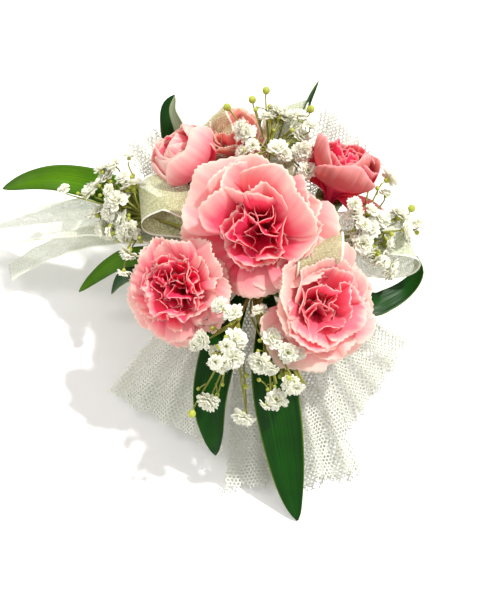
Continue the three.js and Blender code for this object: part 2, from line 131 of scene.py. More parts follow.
RIBBONS = {
    "loop_left": dict(across=(-0.1, 1, 0.05),
        route=[(-9, 13, 45), (-24, 15, 45), (-38, 16, 46), (-42, 17, 51), (-39, 17, 57), (-33, 17, 60),
        (-27, 15, 58), (-20, 13, 51), (-9, 13, 48)]),
    "loop_right": dict(across=(0.93, 0.45, 0.1),
        route=[(10, -5, 47), (15, -11, 52), (18.5, -17, 59), (19.5, -19, 65), (20.5, -17.5, 69.5),
        (21, -13.5, 71.5), (21.5, -9.5, 70), (21, -7, 64), (17, -4, 56), (12, 1, 47)]),
    "loop_back": dict(across=(0.7, 0.4, 0.6),
        route=[(-3, 13, 46), (-8, 26, 50), (-15, 41, 56), (-17, 47, 60), (-16, 50, 57), (-12, 44, 51),
        (-1, 14, 44)]),
    "loop_top": dict(across=(0.9, 0, 0.4),
        route=[(3, 14, 46), (6, 32, 52), (9, 46, 59), (11, 52, 62), (11, 54, 58), (9, 46, 52),
        (4, 15, 44)]),
    "loop_side": dict(across=(-0.25, 0.85, 0.35),
        route=[(9, 6, 45), (28, 8, 46), (44, 8, 47), (52, 8, 45), (55, 7, 40), (52, 6, 35), (42, 5, 36),
        (26, 5, 40), (9, 5, 42)]),
    "tail": dict(across=(-0.2, 0.95, 0.2), across_end=(0.1, 1, -0.1),
        route=[(-9, 8, 42), (-28, 13, 40), (-48, 20, 38), (-60, 23, 34), (-78, 26, 26), (-96, 29, 17),
        (-106, 31, 14)],
        under=dict(across=(-0.1, 0.95, 0.3), across_end=(0.2, 1, 0), share=0.56,
        route=[(-9, 10, 40), (-34, 15, 36), (-60, 19, 27), (-78, 20, 15), (-93, 16, 6)])),
}
FANS = {
    "front_left": dict(narrow=12, wide=52, pleats=4, depth=1.8, edge=(0.64, -0.7, -0.06),
        route=[(-9, -9, 39.2), (-19, -21, 32), (-28, -36, 18), (-34, -48, 6)]),
    "front": dict(narrow=8, wide=24, pleats=2, depth=1.4, edge=(1, -0.1, 0),
        route=[(-1, -17, 39), (-2, -36, 27), (-1, -56, 9), (0, -72, 3)]),
    "front_right": dict(narrow=10, wide=34, pleats=3, depth=1.8, edge=(0.9, 0.4, 0),
        route=[(8, -15, 38.6), (13, -34, 27), (19, -54, 10), (22, -70, 3)]),
    "right": dict(narrow=10, wide=44, pleats=4, depth=1.8, edge=(0.5, 0.85, 0.1),
        route=[(10, -6, 39.2), (23, -17, 29), (35, -26, 15), (46, -33, 5)]),
    "back_right": dict(narrow=8, wide=30, pleats=3, depth=1.6, edge=(0.8, -0.6, 0),
        route=[(8, 11, 39.2), (18, 28, 39), (28, 41, 46), (36, 47, 54)]),
    "back_left": dict(narrow=8, wide=24, pleats=3, depth=1.6, edge=(0.5, 0.86, 0.1),
        route=[(-9, 11, 39.2), (-22, 25, 38), (-34, 40, 43), (-42, 50, 49)]),
}
WARM_WHITE = (1.0, 0.985, 0.955)
# Each sun has the way towards it, its share of the key light's strength and how wide it looks in degrees.
SUNS = {"key": ((0.5, 0.24, 1.0), 1.0, 3), "side": ((-0.6, 0.25, 0.9), 0.16, 16)}
AIM_FROM_BUNDLE = (-6.4, -11.75, -9.2)

# Thicknesses and clearances, in millimetres.
BAND = 1.1
RIBBON = 0.12
FLORET_PETAL = 0.1
HALF_NET = 0.11
LAYER_GAP = 1.6
ABOVE_TABLE = 0.4

# How finely the shapes are drawn.
PETAL_ROWS = np.array([0, 0.12, 0.24, 0.36, 0.47, 0.57, 0.66, 0.74, 0.82, 0.89, 0.95, 1.0])
BAND_STEPS, BAND_COLUMNS = 280, 15
LEAF_ROWS, LEAF_COLUMNS = 45, 13
RIBBON_ROWS, RIBBON_COLUMNS = 91, 17
FAN_STATIONS = 60


def tint(red, green, blue):
    """A screen colour of 0 to 255 a channel, as the linear numbers that shaders use."""
    return tuple((c / 255) ** 2.2 for c in (red, green, blue))


# ---------------------------------------------------------------- sizes and colours


def length_property(name, description, default):
    return FloatProperty(name=name, description=description, default=default, unit="LENGTH", subtype="DISTANCE")


def colour_property(name, description, *screen):
    return FloatVectorProperty(name=name, description=description, default=tint(*screen), size=3, subtype="COLOR")


class CorsageBlooms(bpy.types.PropertyGroup):
    thickness: length_property("Petal thickness", "Thickness of a carnation petal", 0.22 * MM)
    crimson: colour_property("Heart", "Colour deep between the petals", 255, 44, 106)
    pink: colour_property("Petal pink", "Colour of the middle of a petal", 255, 88, 134)
    blush: colour_property("Blush", "Colour of the outer petals", 255, 150, 168)
    margin: colour_property("Margin", "Pale colour along the pinked edges", 255, 236, 224)


class CorsageGreens(bpy.types.PropertyGroup):
    leaf_thickness: length_property("Leaf thickness", "Thickness of a leaf", 0.35 * MM)
    floret: length_property("Floret radius", "Radius of a baby's breath floret", 3.3 * MM)
    bright: colour_property("Bright leaf", "Colour of the lit leaves", 72, 124, 2)
    dark: colour_property("Dark leaf", "Colour of the shaded leaves", 12, 62, 2)
    stem: colour_property("Sprig stem", "Colour of the sprigs' thin stems", 142, 148, 52)
    floret_white: colour_property("Floret white", "Colour of the small white petals", 253, 253, 240)


class CorsageTrims(bpy.types.PropertyGroup):
    ribbon_width: length_property("Ribbon width", "Width of the organza ribbon", 16 * MM)
    mesh: length_property("Net side", "Length of one side of the net's six-sided holes", 0.8 * MM)
    thread: length_property("Net thread", "Width of the net's threads", 0.4 * MM)
    ruches: IntProperty(name="Ruches", description="Gathers round the wristband", default=70)
    organza: colour_property("Organza", "Colour of the sheer ribbon", 198, 200, 148)
    satin: colour_property("Satin", "Colour of the wristband", 246, 243, 234)


class CorsageStage(bpy.types.PropertyGroup):
    elevation: FloatProperty(name="Camera elevation", description="How far above the floor the camera looks from",
                             default=math.radians(60), subtype="ANGLE", unit="ROTATION")
    distance: length_property("Camera distance", "From the camera to what it aims at", 0.7)
    frame_height: length_property("Frame height", "Height that fills the picture", 0.2143)
    sun: FloatProperty(name="Key light", description="Strength of the key light", default=3.6)
    fill: FloatProperty(name="Fill light", description="Strength of the light from all round", default=0.8)


# ---------------------------------------------------------------- shapes


def unit(vector):
    vector = np.asarray(vector, float)
    return vector / (np.linalg.norm(vector, axis=-1, keepdims=True) + 1e-12)


def smooth(low, high, value):
    x = np.clip((np.asarray(value, float) - low) / (high - low), 0, 1)
    return x * x * (3 - 2 * x)


def sampled(route, count):
    """Points and directions at even steps along a smooth curve through the route's points."""
    points = np.array(route, float)
    padded = np.vstack([2 * points[0] - points[1], points, 2 * points[-1] - points[-2]])
    fine = []
    for i in range(len(points) - 1):
        p0, p1, p2, p3 = padded[i:i + 4]
        t = np.linspace(0, 1, 24, endpoint=False)[:, None]
        fine.append(0.5 * (2 * p1 + (p2 - p0) * t + (2 * p0 - 5 * p1 + 4 * p2 - p3) * t ** 2
                           + (3 * p1 - p0 - 3 * p2 + p3) * t ** 3))
    fine = np.vstack([*fine, points[-1:]])
    length = np.concatenate([[0], np.cumsum(np.linalg.norm(np.diff(fine, axis=0), axis=1))])
    stations = np.linspace(0, length[-1], count)
    places = np.stack([np.interp(stations, length, fine[:, k]) for k in range(3)], axis=1)
    return places, unit(np.gradient(places, axis=0)), length[-1]


def turned(profile, sides):
    """Rings round +Z, one for each radius and height of the profile."""
    angle = np.linspace(0, 2 * math.pi, sides, endpoint=False)
    return np.array([np.stack([radius * np.cos(angle), radius * np.sin(angle), height + np.zeros(sides)], axis=-1)
                     for radius, height in profile])


def turning(first, last, along):
    """A direction that goes over evenly from first to last."""
    return np.outer(1 - along, first) + np.outer(along, last)


def strip(places, side, normal, offsets, lifts):
    """A grid of points: the places moved sideways by offsets and off the surface by lifts."""
    return places[:, None] + side[:, None] * offsets[..., None] + normal[:, None] * lifts[..., None]


def stadium(flat, radius, steps):
    """Places on a loop of two straights and two half circles, the way out of it, and the share of the loop gone."""
    half = flat + math.pi * radius
    gone = np.linspace(0, 2 * half, steps, endpoint=False)
    turn = np.where(gone < half, 1, -1)
    angle = np.maximum(gone % half - flat, 0) / radius - math.pi / 2
    outward = turn[:, None] * np.stack([np.cos(angle), np.sin(angle)], axis=-1)
    centre = radius * outward
    centre[:, 0] += turn * (np.minimum(gone % half, flat) - flat / 2)
    return centre, outward, gone / (2 * half)


class Stock:
    """Points, faces and point values gathered for one piece."""

    def __init__(self):
        self.points, self.faces, self.finish = [], [], []
        self.values = {"along": [], "across": [], "tone": [], "ring": []}
        self.count = 0

    def add(self, points, faces, along=0.0, across=0.0, tone=0.0, ring=0.0, finish=0):
        points = np.asarray(points, float).reshape(-1, 3)
        for name, value in (("along", along), ("across", across), ("tone", tone), ("ring", ring)):
            self.values[name].append(np.broadcast_to(np.asarray(value, float).reshape(-1), (len(points),)))
        for face in faces:
            self.faces.append((np.asarray(face) + self.count).tolist())
        self.finish += [finish] * len(faces)
        self.points.append(points)
        self.count += len(points)

    def shell(self, grid, thickness, along, across, **values):
        """A thin closed sheet with grid in the middle of its thickness."""
        rows, columns = grid.shape[:2]
        normal = unit(np.cross(np.gradient(grid, axis=1), np.gradient(grid, axis=0)))
        half = normal * thickness / 2
        size = rows * columns
        index = np.arange(size).reshape(rows, columns)
        a, b, c, d = index[:-1, :-1], index[:-1, 1:], index[1:, 1:], index[1:, :-1]
        top = np.stack([a, b, c, d], -1).reshape(-1, 4)
        edge = np.concatenate([index[0, :-1], index[:-1, -1], index[-1, :0:-1], index[:0:-1, 0]])
        after = np.roll(edge, -1)
        rim = np.stack([after, edge, edge + size, after + size], -1)
        faces = np.concatenate([top, top[:, ::-1] + size, rim])
        points = np.concatenate([(grid + half).reshape(-1, 3), (grid - half).reshape(-1, 3)])
        along, across = (np.tile(np.broadcast_to(value, (rows, columns)).reshape(-1), 2) for value in (along, across))
        self.add(points, faces, along=along, across=across, **values)

    def tube(self, places, radius, sides=8, **values):
        """A closed round tube along places; radius is one number or one for each place."""
        places = np.asarray(places, float)
        radius = np.broadcast_to(np.asarray(radius, float), (len(places),))
        forward = unit(np.gradient(places, axis=0))
        side = unit(np.cross(forward[0], UP if abs(forward[0][2]) < 0.9 else (1.0, 0, 0)))
        rings = []
        for place, way, r in zip(places, forward, radius):
            side = unit(side - way * np.dot(side, way))
            other = np.cross(way, side)
            angle = np.linspace(0, 2 * math.pi, sides, endpoint=False)[:, None]
            rings.append(place + r * (np.cos(angle) * side + np.sin(angle) * other))
        self.closed_rings(np.array(rings), **values)

    def closed_rings(self, rings, **values):
        """A closed body through a stack of rings, with a point in the middle of each end."""
        count, sides = rings.shape[:2]
        points = np.vstack([rings.reshape(-1, 3), rings[0].mean(0), rings[-1].mean(0)])
        index = np.arange(count * sides).reshape(count, sides)
        after = np.roll(index, -1, axis=1)
        body = np.stack([index[:-1], after[:-1], after[1:], index[1:]], -1).reshape(-1, 4).tolist()
        first, last = count * sides, count * sides + 1
        body += [(first, after[0, k], index[0, k]) for k in range(sides)]
        body += [(last, index[-1, k], after[-1, k]) for k in range(sides)]
        along = np.append(np.repeat(np.linspace(0, 1, count), sides), [0, 1])
        across = np.append(np.tile(np.linspace(-1, 1, sides), count), [0, 0])
        self.add(points, body, along=along, across=across, **values)


def placed(points, base, axis, spin=0.0):
    """Points made round +Z, turned to point along axis and moved to base."""
    axis = unit(axis)
    side = unit(np.cross((0.0, 1.0, 0.0) if abs(axis[1]) < 0.9 else (1.0, 0, 0), axis))
    other = np.cross(axis, side)
    across = math.cos(spin) * side + math.sin(spin) * other
    along = -math.sin(spin) * side + math.cos(spin) * other
    return base + points[..., :1] * across + points[..., 1:2] * along + points[..., 2:] * axis


def piece(name, stock, finishes, replaced, smooth_faces=True):
    """Makes the gathered stock into an object that rides on the frame in place of its CAD nodes."""
    mesh = bpy.data.meshes.new(name)
    mesh.from_pydata((np.concatenate(stock.points) * MM).tolist(), [], stock.faces)
    for key, value in stock.values.items():
        layer = mesh.attributes.new(key, "FLOAT", "POINT")
        layer.data.foreach_set("value", np.concatenate(value).astype(np.float32))
    for finish in finishes:
        mesh.materials.append(finish)
    mesh.polygons.foreach_set("material_index", np.array(stock.finish, np.int32))
    mesh.polygons.foreach_set("use_smooth", np.full(len(mesh.polygons), smooth_faces))
    mesh.validate()
    mesh.update()
    made = bpy.data.objects.new(name, mesh)
    bpy.context.scene.collection.objects.link(made)
    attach(made, "root")
    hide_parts(*replaced)
    return made


def node_points(name):
    return np.array([v.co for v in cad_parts[name].data.vertices], float) / MM


def calyx_axis(name):
    """The middle of a calyx's mouth and the way its bloom faces, in millimetres."""
    shape = node_points(f"calyx_{name}")
    middle = shape.mean(0)
    axis = unit(node_points(f"petals_{name}").mean(0) - middle)
    for _ in range(6):
        height = (shape - middle) @ axis
        top = shape[height > np.quantile(height, 0.6)]
        axis = unit(top.mean(0) - middle)
    height = (shape - middle) @ axis
    return middle + axis * height.max(), axis


# ---------------------------------------------------------------- finishes


class Finish:
    """A node material, put together a few nodes at a time."""

    def __init__(self, name):
        self.material = bpy.data.materials.new(name)
        self.material.use_nodes = True
        self.tree = self.material.node_tree
        self.tree.nodes.clear()

    def add(self, kind, inputs=(), **settings):
        made = self.tree.nodes.new(kind)
        for key, value in settings.items():
            setattr(made, key, value)
        for key, value in dict(inputs).items():
            if isinstance(value, bpy.types.NodeSocket):
                self.tree.links.new(value, made.inputs[key])
            else:
                made.inputs[key].default_value = value
        return made

    def point_value(self, name):
        return self.add("ShaderNodeAttribute", attribute_name=name).outputs["Fac"]

    def calc(self, operation, first, second=0.0, clamp=False):
        return self.add("ShaderNodeMath", {0: first, 1: second}, operation=operation, use_clamp=clamp).outputs[0]

    def swayed(self, value, noise, share):
        """The value moved up and down by a noise of 0 to 1."""
        return self.calc("ADD", value, self.calc("MULTIPLY", self.calc("SUBTRACT", noise, 0.5), share))

    def waves(self, value, turns):
        return self.calc("SINE", self.calc("MULTIPLY", value, 2 * math.pi * turns))

    def spread(self, value, low, high, to_low=0.0, to_high=1.0):
        made = self.add("ShaderNodeMapRange", {0: value, 1: low, 2: high, 3: to_low, 4: to_high}, clamp=True)
        return made.outputs[0]

    def blend(self, share, first, second):
        made = self.add("ShaderNodeMix", {0: share, 6: first, 7: second}, data_type="RGBA", clamp_factor=True)
        return made.outputs[2]

    def noise(self, scale, detail=3.0, vector=None):
        if vector is None:
            vector = self.add("ShaderNodeTexCoord").outputs["Object"]
        return self.add("ShaderNodeTexNoise", {"Scale": scale, "Detail": detail, "Vector": vector}).outputs["Fac"]

    def point_vector(self, across_scale, along_scale):
        across = self.calc("MULTIPLY", self.point_value("across"), across_scale)
        along = self.calc("MULTIPLY", self.point_value("along"), along_scale)
        return self.add("ShaderNodeCombineXYZ", {0: across, 1: along, 2: self.point_value("tone")}).outputs[0]

    def surface(self, colour, roughness, height=None, strength=0.0, distance=0.0, glow=0.0, more=()):
        """Ends the material in a skin, bumped by height and letting a share of glow through."""
        inputs = {"Base Color": colour, "Roughness": roughness, **dict(more)}
        if height is not None:
            bump = self.add("ShaderNodeBump", {"Height": height, "Strength": strength, "Distance": distance})
            inputs["Normal"] = bump.outputs[0]
        shader = self.add("ShaderNodeBsdfPrincipled", inputs)
        if glow:
            through = self.add("ShaderNodeBsdfTranslucent", {"Color": colour})
            shader = self.add("ShaderNodeMixShader", {0: glow, 1: shader.outputs[0], 2: through.outputs[0]})
        self.add("ShaderNodeOutputMaterial", {"Surface": shader.outputs[0]})
        return self.material


def rgba(colour, share=1.0):
    return (*(share * c for c in tuple(colour)[:3]), 1.0)


def between(first, second):
    return tuple(0.5 * (a + b) for a, b in zip(first, second))


def petal_finish(name, heart, body, outer, margin, pale=0.3, rim=0.03):
    """Petal tissue: deeper towards the heart, streaked along its length, pale at the pinked edge."""
    make = Finish(name)
    along = make.point_value("along")
    ring = make.point_value("ring")
    streaks = make.noise(1.0, 2.0, make.point_vector(7.0, 1.2))
    depth = make.swayed(along, streaks, 0.3)
    inner = make.blend(make.spread(depth, 0.55, 0.98), rgba(heart), rgba(body))
    outside = make.blend(make.spread(depth, 0.35, 0.95), rgba(body), rgba(outer))
    colour = make.blend(make.spread(ring, 0.3, 1.0), inner, outside)
    edge = make.swayed(depth, make.noise(140.0, 2.0), 0.2)
    reach = make.spread(ring, 0.3, 1.0, 0.04, pale)
    fade = make.calc("DIVIDE", make.calc("SUBTRACT", edge, make.calc("SUBTRACT", 1.0, reach)), reach, clamp=True)
    colour = make.blend(make.calc("MULTIPLY", fade, 0.85), colour, rgba(margin))
    fringe = make.blend(make.spread(ring, 0.0, 0.8), rgba(between(body, margin)), rgba(margin))
    colour = make.blend(make.spread(along, 1 - rim, 1 - rim / 2), colour, fringe)
    return make.surface(colour, 0.5, streaks, 0.3, 0.0005, 0.5, {"Specular IOR Level": 0.3})


def leaf_finish(name, green, vein, rim, underside=None):
    """A waxy leaf with fine veins along it, darker towards its sides, and a thin pale rim."""
    make = Finish(name)
    across = make.point_value("across")
    lines = make.noise(1.0, 2.0, make.point_vector(14.0, 1.2))
    colour = make.blend(make.spread(lines, 0.35, 0.75, 0.0, 0.45), rgba(green), rgba(vein))
    colour = make.blend(make.spread(make.noise(90.0), 0.4, 0.7, 0.0, 0.35), colour, rgba(green, 0.55))
    if underside:
        ribs = make.blend(make.spread(lines, 0.4, 0.65), rgba(underside), rgba(underside, 0.5))
        colour = make.blend(make.spread(across, -0.02, 0.06), ribs, colour)
    side = make.calc("ABSOLUTE", across)
    colour = make.blend(make.spread(side, 0.3, 0.95, 0.0, 0.5), colour, rgba(green, 0.5))
    colour = make.blend(make.spread(side, 0.93, 0.99), colour, rgba(rim))
    height = make.calc("ADD", make.calc("MULTIPLY", lines, 0.7), make.calc("MULTIPLY", side, 0.3))
    return make.surface(colour, 0.34, height, 0.5, 0.0005, 0.15, {"Specular IOR Level": 0.22})


def stalk_finish(name, colour, other, roughness=0.55):
    """A thin green stalk or calyx, striped along its length."""
    make = Finish(name)
    stripes = make.noise(1.0, 2.0, make.point_vector(5.0, 3.0))
    mixed = make.blend(make.spread(stripes, 0.35, 0.7), rgba(colour), rgba(other))
    mixed = make.blend(make.spread(make.noise(260.0, 2.0), 0.5, 0.8, 0.0, 0.4), mixed, rgba(colour, 0.6))
    return make.surface(mixed, roughness, stripes, 0.3, 0.0003)


def floret_finish(white, heart):
    """Thin white petals, faintly green towards the middle of the floret."""
    make = Finish("baby_breath_white")
    veins = make.noise(1.0, 2.0, make.point_vector(4.0, 1.0))
    colour = make.blend(make.spread(make.point_value("along"), 0.05, 0.55), rgba(heart), rgba(white))
    colour = make.blend(make.spread(veins, 0.45, 0.8, 0.0, 0.12), colour, rgba(tint(214, 214, 190)))
    return make.surface(colour, 0.6, veins, 0.25, 0.0002, 0.3, {"Sheen Weight": 0.15})


def organza_finish(name, colour, far, cover):
    """Sheer ribbon: an open plain weave between two solid shining selvages."""
    make = Finish(name)
    across = make.point_value("across")
    along = make.point_value("along")
    threads = make.calc("MAXIMUM", make.waves(across, 17), make.waves(along, 2))
    selvage = make.spread(make.calc("ABSOLUTE", across), 0.89, 0.93)
    cloud = make.noise(1500.0)
    colour = make.blend(make.spread(along, 25.0, 80.0), rgba(colour), rgba(far))
    alpha = make.calc("ADD", make.spread(threads, -0.3, 1.0, cover - 0.12, cover + 0.22),
                      make.spread(cloud, 0.35, 0.65, -0.16, 0.12))
    alpha = make.calc("MAXIMUM", alpha, make.calc("MULTIPLY", selvage, 0.92), clamp=True)
    dim = make.blend(0.3, colour, (0.0, 0.0, 0.0, 1.0))
    shade = make.blend(make.spread(threads, -0.5, 1.0), dim, colour)
    shade = make.blend(make.spread(cloud, 0.4, 0.7, 0.0, 0.45), shade, rgba(tint(246, 240, 214)))
    shade = make.blend(selvage, shade, rgba(tint(250, 250, 232)))
    return make.surface(shade, 0.38, threads, 0.35, 0.0002,
                        more={"Alpha": alpha, "Sheen Weight": 0.6, "Sheen Roughness": 0.3})


def net_finish(colour):
    """Stiff white net thread, slightly shiny."""
    make = Finish("tulle_thread")
    fibres = make.noise(900.0, 2.0)
    shade = make.blend(make.spread(fibres, 0.3, 0.7), rgba(colour, 0.9), rgba(colour))
    return make.surface(shade, 0.5, fibres, 0.3, 0.0001, 0.25, {"Sheen Weight": 0.3})


def satin_finish(colour):
    """Satin over elastic: fine threads across the band, a soft shine, and painted shade in its folds."""
    make = Finish("band_satin")
    threads = make.waves(make.point_value("across"), 26)
    folds = make.noise(1.0, 3.0, make.point_vector(2.0, 160.0))
    # Painted shade: the satin is darkened to 0.8 of its colour where the fold noise is low.
    shade = make.blend(make.spread(folds, 0.3, 0.7), rgba(colour, 0.8), rgba(colour))
    height = make.calc("ADD", make.calc("MULTIPLY", threads, 0.3), folds)
    return make.surface(shade, 0.42, height, 0.4, 0.0003, more={"Sheen Weight": 0.5, "Anisotropic": 0.4})


def plain_finish(name, colour, roughness, metallic=0.0):
    """Moulded plastic or coated wire with a fine surface grain."""
    make = Finish(name)
    fine = make.noise(400.0, 4.0)
    shade = make.blend(make.spread(fine, 0.35, 0.7), rgba(colour, 0.88), rgba(colour))
    return make.surface(shade, roughness, fine, 0.15, 0.0002, more={"Metallic": metallic})


# ---------------------------------------------------------------- blooms


def petal_grid(rng, reach, half_width, lean, ruffle, waves, cup, tooth, claw, columns=30):
    """One carnation petal as rows from its claw to its pinked edge, in the bloom's own frame."""
    t = np.linspace(-1, 1, columns + 1)
    corner = 1 - 0.24 * np.abs(t) ** 2.6 + 0.035 * np.sin(1.7 * math.pi * t + rng.uniform(0, 6))
    saw = (np.arange(columns + 1) + 1) % 2 * rng.uniform(0.4, 1.0, columns + 1)
    s = np.outer(PETAL_ROWS, corner)
    s[-1] -= saw * tooth / reach
    fine = np.linspace(0, 1.05, 85)
    tilt = lean[0] * smooth(0.04, 0.42, fine) + (lean[1] - lean[0]) * smooth(0.42, 1.0, fine)
    step = reach * (fine[1] - fine[0])
    radial = 1.0 + np.concatenate([[0], np.cumsum(np.sin(tilt[:-1])) * step])
    height = -claw + np.concatenate([[0], np.cumsum(np.cos(tilt[:-1])) * step])
    r = np.interp(s, fine, radial)
    z = np.interp(s, fine, height)
    angle = np.interp(s, fine, tilt)
    spread = 0.14 + 0.86 * smooth(0.1, 0.78, s)
    x = t * half_width * spread * (1 - 0.08 * smooth(0.85, 1.0, s))
    crest = smooth(0.22, 1.0, s) ** 1.5
    phase, second, third = rng.uniform(0, 6.28, 3)
    lift = ruffle * crest * (np.sin(math.pi * waves * t + phase)
                             + 0.3 * np.sin(2.1 * math.pi * waves * t + second))
    lift += 0.16 * ruffle * smooth(0.7, 1.0, s) * np.sin(4.6 * math.pi * waves * t + third)
    lift += cup * t ** 2 * smooth(0.15, 0.9, s) + rng.uniform(-0.16, 0.16) * x * smooth(0.2, 1, s)
    x = x + 0.4 * ruffle * crest * np.sin(2 * math.pi * waves * t + second)
    r = r - lift * np.cos(angle)
    z = z + lift * np.sin(angle)
    return np.stack([x, r, z], axis=-1), PETAL_ROWS[:, None], t


def bloom_stock(name, thickness):
    """All the petals of one bloom, from the crumpled heart to the outermost ring."""
    facts = BLOOMS[name]
    rng = np.random.default_rng(facts["seed"])
    base, axis = calyx_axis(name)
    away = node_points(f"petals_{name}") - base
    radius = np.quantile(np.linalg.norm(away - np.outer(away @ axis, axis), axis=1), 0.97)
    side, other = placed(np.eye(3)[:2], 0.0, axis)
    petals = []
    for level, (count, low, high, reach, half, ruffle, waves) in enumerate(facts["rings"]):
        for k in range(count):
            spin = 0.7 * (level + 1) + 2 * math.pi * k / count + rng.uniform(-0.16, 0.16)
            petals.append((spin, level / (len(facts["rings"]) - 1), low, high, reach, half, ruffle, waves))
    for way, low, high, reach, half in facts["guards"]:
        petals.append((math.atan2(-np.dot(way, side), np.dot(way, other)), 1.0, low, high, reach, half, 0.05, 1.1))
    stock = Stock()
    for spin, ring, low, high, reach, half, ruffle, waves in petals:
        lie = facts["bias"] * (placed(np.array((0.0, 1.0, 0.0)), 0.0, axis, spin) @ unit(facts["tall"]))
        lean = (math.radians(low) * rng.uniform(0.8, 1.16) * (1 - lie),
                math.radians(high + rng.uniform(-16, 14)) * (1 - lie))
        size = radius * rng.uniform(0.86, 1.08) * (1 + 0.25 * lie)
        grid, along, across = petal_grid(rng, reach * size, radius * half * rng.uniform(0.88, 1.12), lean,
                                         radius * ruffle * rng.uniform(0.75, 1.2), waves * rng.uniform(0.85, 1.2),
                                         (1 - ring) * 1.6 + rng.uniform(-0.8, 0.8), facts["tooth"], 2.5)
        round_it = np.maximum(grid[..., 1], 0.4 * radius)
        angle = grid[..., 0] / round_it
        grid[..., 1] -= facts["wrap"] * round_it * (1 - np.cos(angle))
        grid[..., 0] += facts["wrap"] * (round_it * np.sin(angle) - grid[..., 0])
        tipped = unit(axis + (0.13 - 0.07 * ring) * rng.normal(size=3))
        stock.shell(placed(grid, base, tipped, spin), thickness, along, across, tone=rng.uniform(0, 30), ring=ring)
    return stock


def bloom_finishes(colours):
    heart, pink, blush, margin = colours.crimson, colours.pink, colours.blush, colours.margin
    pale = between(blush, margin)
    return {
        "crimson": petal_finish("petal_crimson_heart", heart, pink, blush, margin, 0.42),
        "pink": petal_finish("petal_pink_heart", between(heart, pink), pink, blush, margin, 0.4, 0.04),
        "pale": petal_finish("petal_pale_heart", pink, blush, pale, margin, 0.4),
        "bud": petal_finish("petal_bud", pink, blush, blush, margin, 0.3, 0.02),
        # The side bloom's dusky brownish outer colour is painted shade on the undersides of its outer petals.
        "side": petal_finish("petal_side_painted_shade", heart, pink, tint(218, 130, 118), pale, 0.2, 0.02),
        "cream": petal_finish("petal_cream", pink, tint(246, 190, 172), tint(250, 222, 200), margin, 0.3, 0.04),
    }


def calyx_rings(base, axis, length):
    """A ribbed green cup with five pointed lobes round its mouth."""
    sides = 30
    angle = np.linspace(0, 2 * math.pi, sides, endpoint=False)
    ribs = 1 + 0.02 * np.cos(10 * angle)
    lobes = 1.6 * np.abs(np.cos(2.5 * angle))
    outside = ((1.5, -1.0), (2.1, -0.97), (3.5, -0.75), (4.3, -0.45), (4.7, -0.15), (4.9, 0.0))
    profile = [(radius * ribs, share * length) for radius, share in outside]
    profile += [(5.2 * ribs, lobes), (4.5, 0.0), (4.0, -0.3 * length)]
    return placed(turned(profile, sides), base, axis)


# ---------------------------------------------------------------- operators


class CORSAGE_OT_stage(bpy.types.Operator):
    """Adds the pale floor, the soft lights and the camera"""
    bl_idname = "corsage.stage"
    bl_label = "Stage"

    def execute(self, context):
        sizes = context.scene.corsage_stage
        low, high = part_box("stem_bundle")
        middle = (low + high) / 2
        aim = middle + Vector(AIM_FROM_BUNDLE) * MM
        sight = Vector((0, -math.cos(sizes.elevation), math.sin(sizes.elevation)))
        data = bpy.data.cameras.new("camera")
        data.sensor_width = 36
        data.lens = data.sensor_width * sizes.distance / sizes.frame_height
        camera = bpy.data.objects.new("camera", data)
        camera.location = aim + sight * sizes.distance
        camera.rotation_euler = sight.to_track_quat("Z", "Y").to_euler()
        context.scene.collection.objects.link(camera)
        context.scene.camera = camera
        self.floor(context)
        self.lights(context, aim, sizes)
        return {"FINISHED"}

    def floor(self, context):
        make = Finish("floor_white")
        shade = make.blend(make.spread(make.noise(30.0, 2.0), 0.3, 0.7), (0.93, 0.93, 0.93, 1), (0.95, 0.95, 0.95, 1))
        half, below = 3.0, -0.0001
        mesh = bpy.data.meshes.new("floor")
        corners = [(-half, -half, below), (half, -half, below), (half, half, below), (-half, half, below)]
        mesh.from_pydata(corners, [], [(0, 1, 2, 3)])
        mesh.materials.append(make.surface(shade, 0.9, more={"Specular IOR Level": 0.1}))
        floor = bpy.data.objects.new("floor", mesh)
        context.scene.collection.objects.link(floor)

    def lights(self, context, aim, sizes):
        context.scene.view_settings.view_transform = "Standard"
        world = bpy.data.worlds.new("soft_white")
        world.use_nodes = True
        world.node_tree.nodes["Background"].inputs["Color"].default_value = rgba(WARM_WHITE)
        world.node_tree.nodes["Background"].inputs["Strength"].default_value = sizes.fill
        context.scene.world = world
        for name, (toward, share, width) in SUNS.items():
            lamp = bpy.data.objects.new(name, bpy.data.lights.new(name, "SUN"))
            lamp.data.energy = share * sizes.sun
            lamp.data.angle = math.radians(width)
            lamp.data.color = WARM_WHITE
            lamp.rotation_euler = Vector(toward).to_track_quat("Z", "Y").to_euler()
            lamp.location = aim + Vector(toward)
            context.scene.collection.objects.link(lamp)


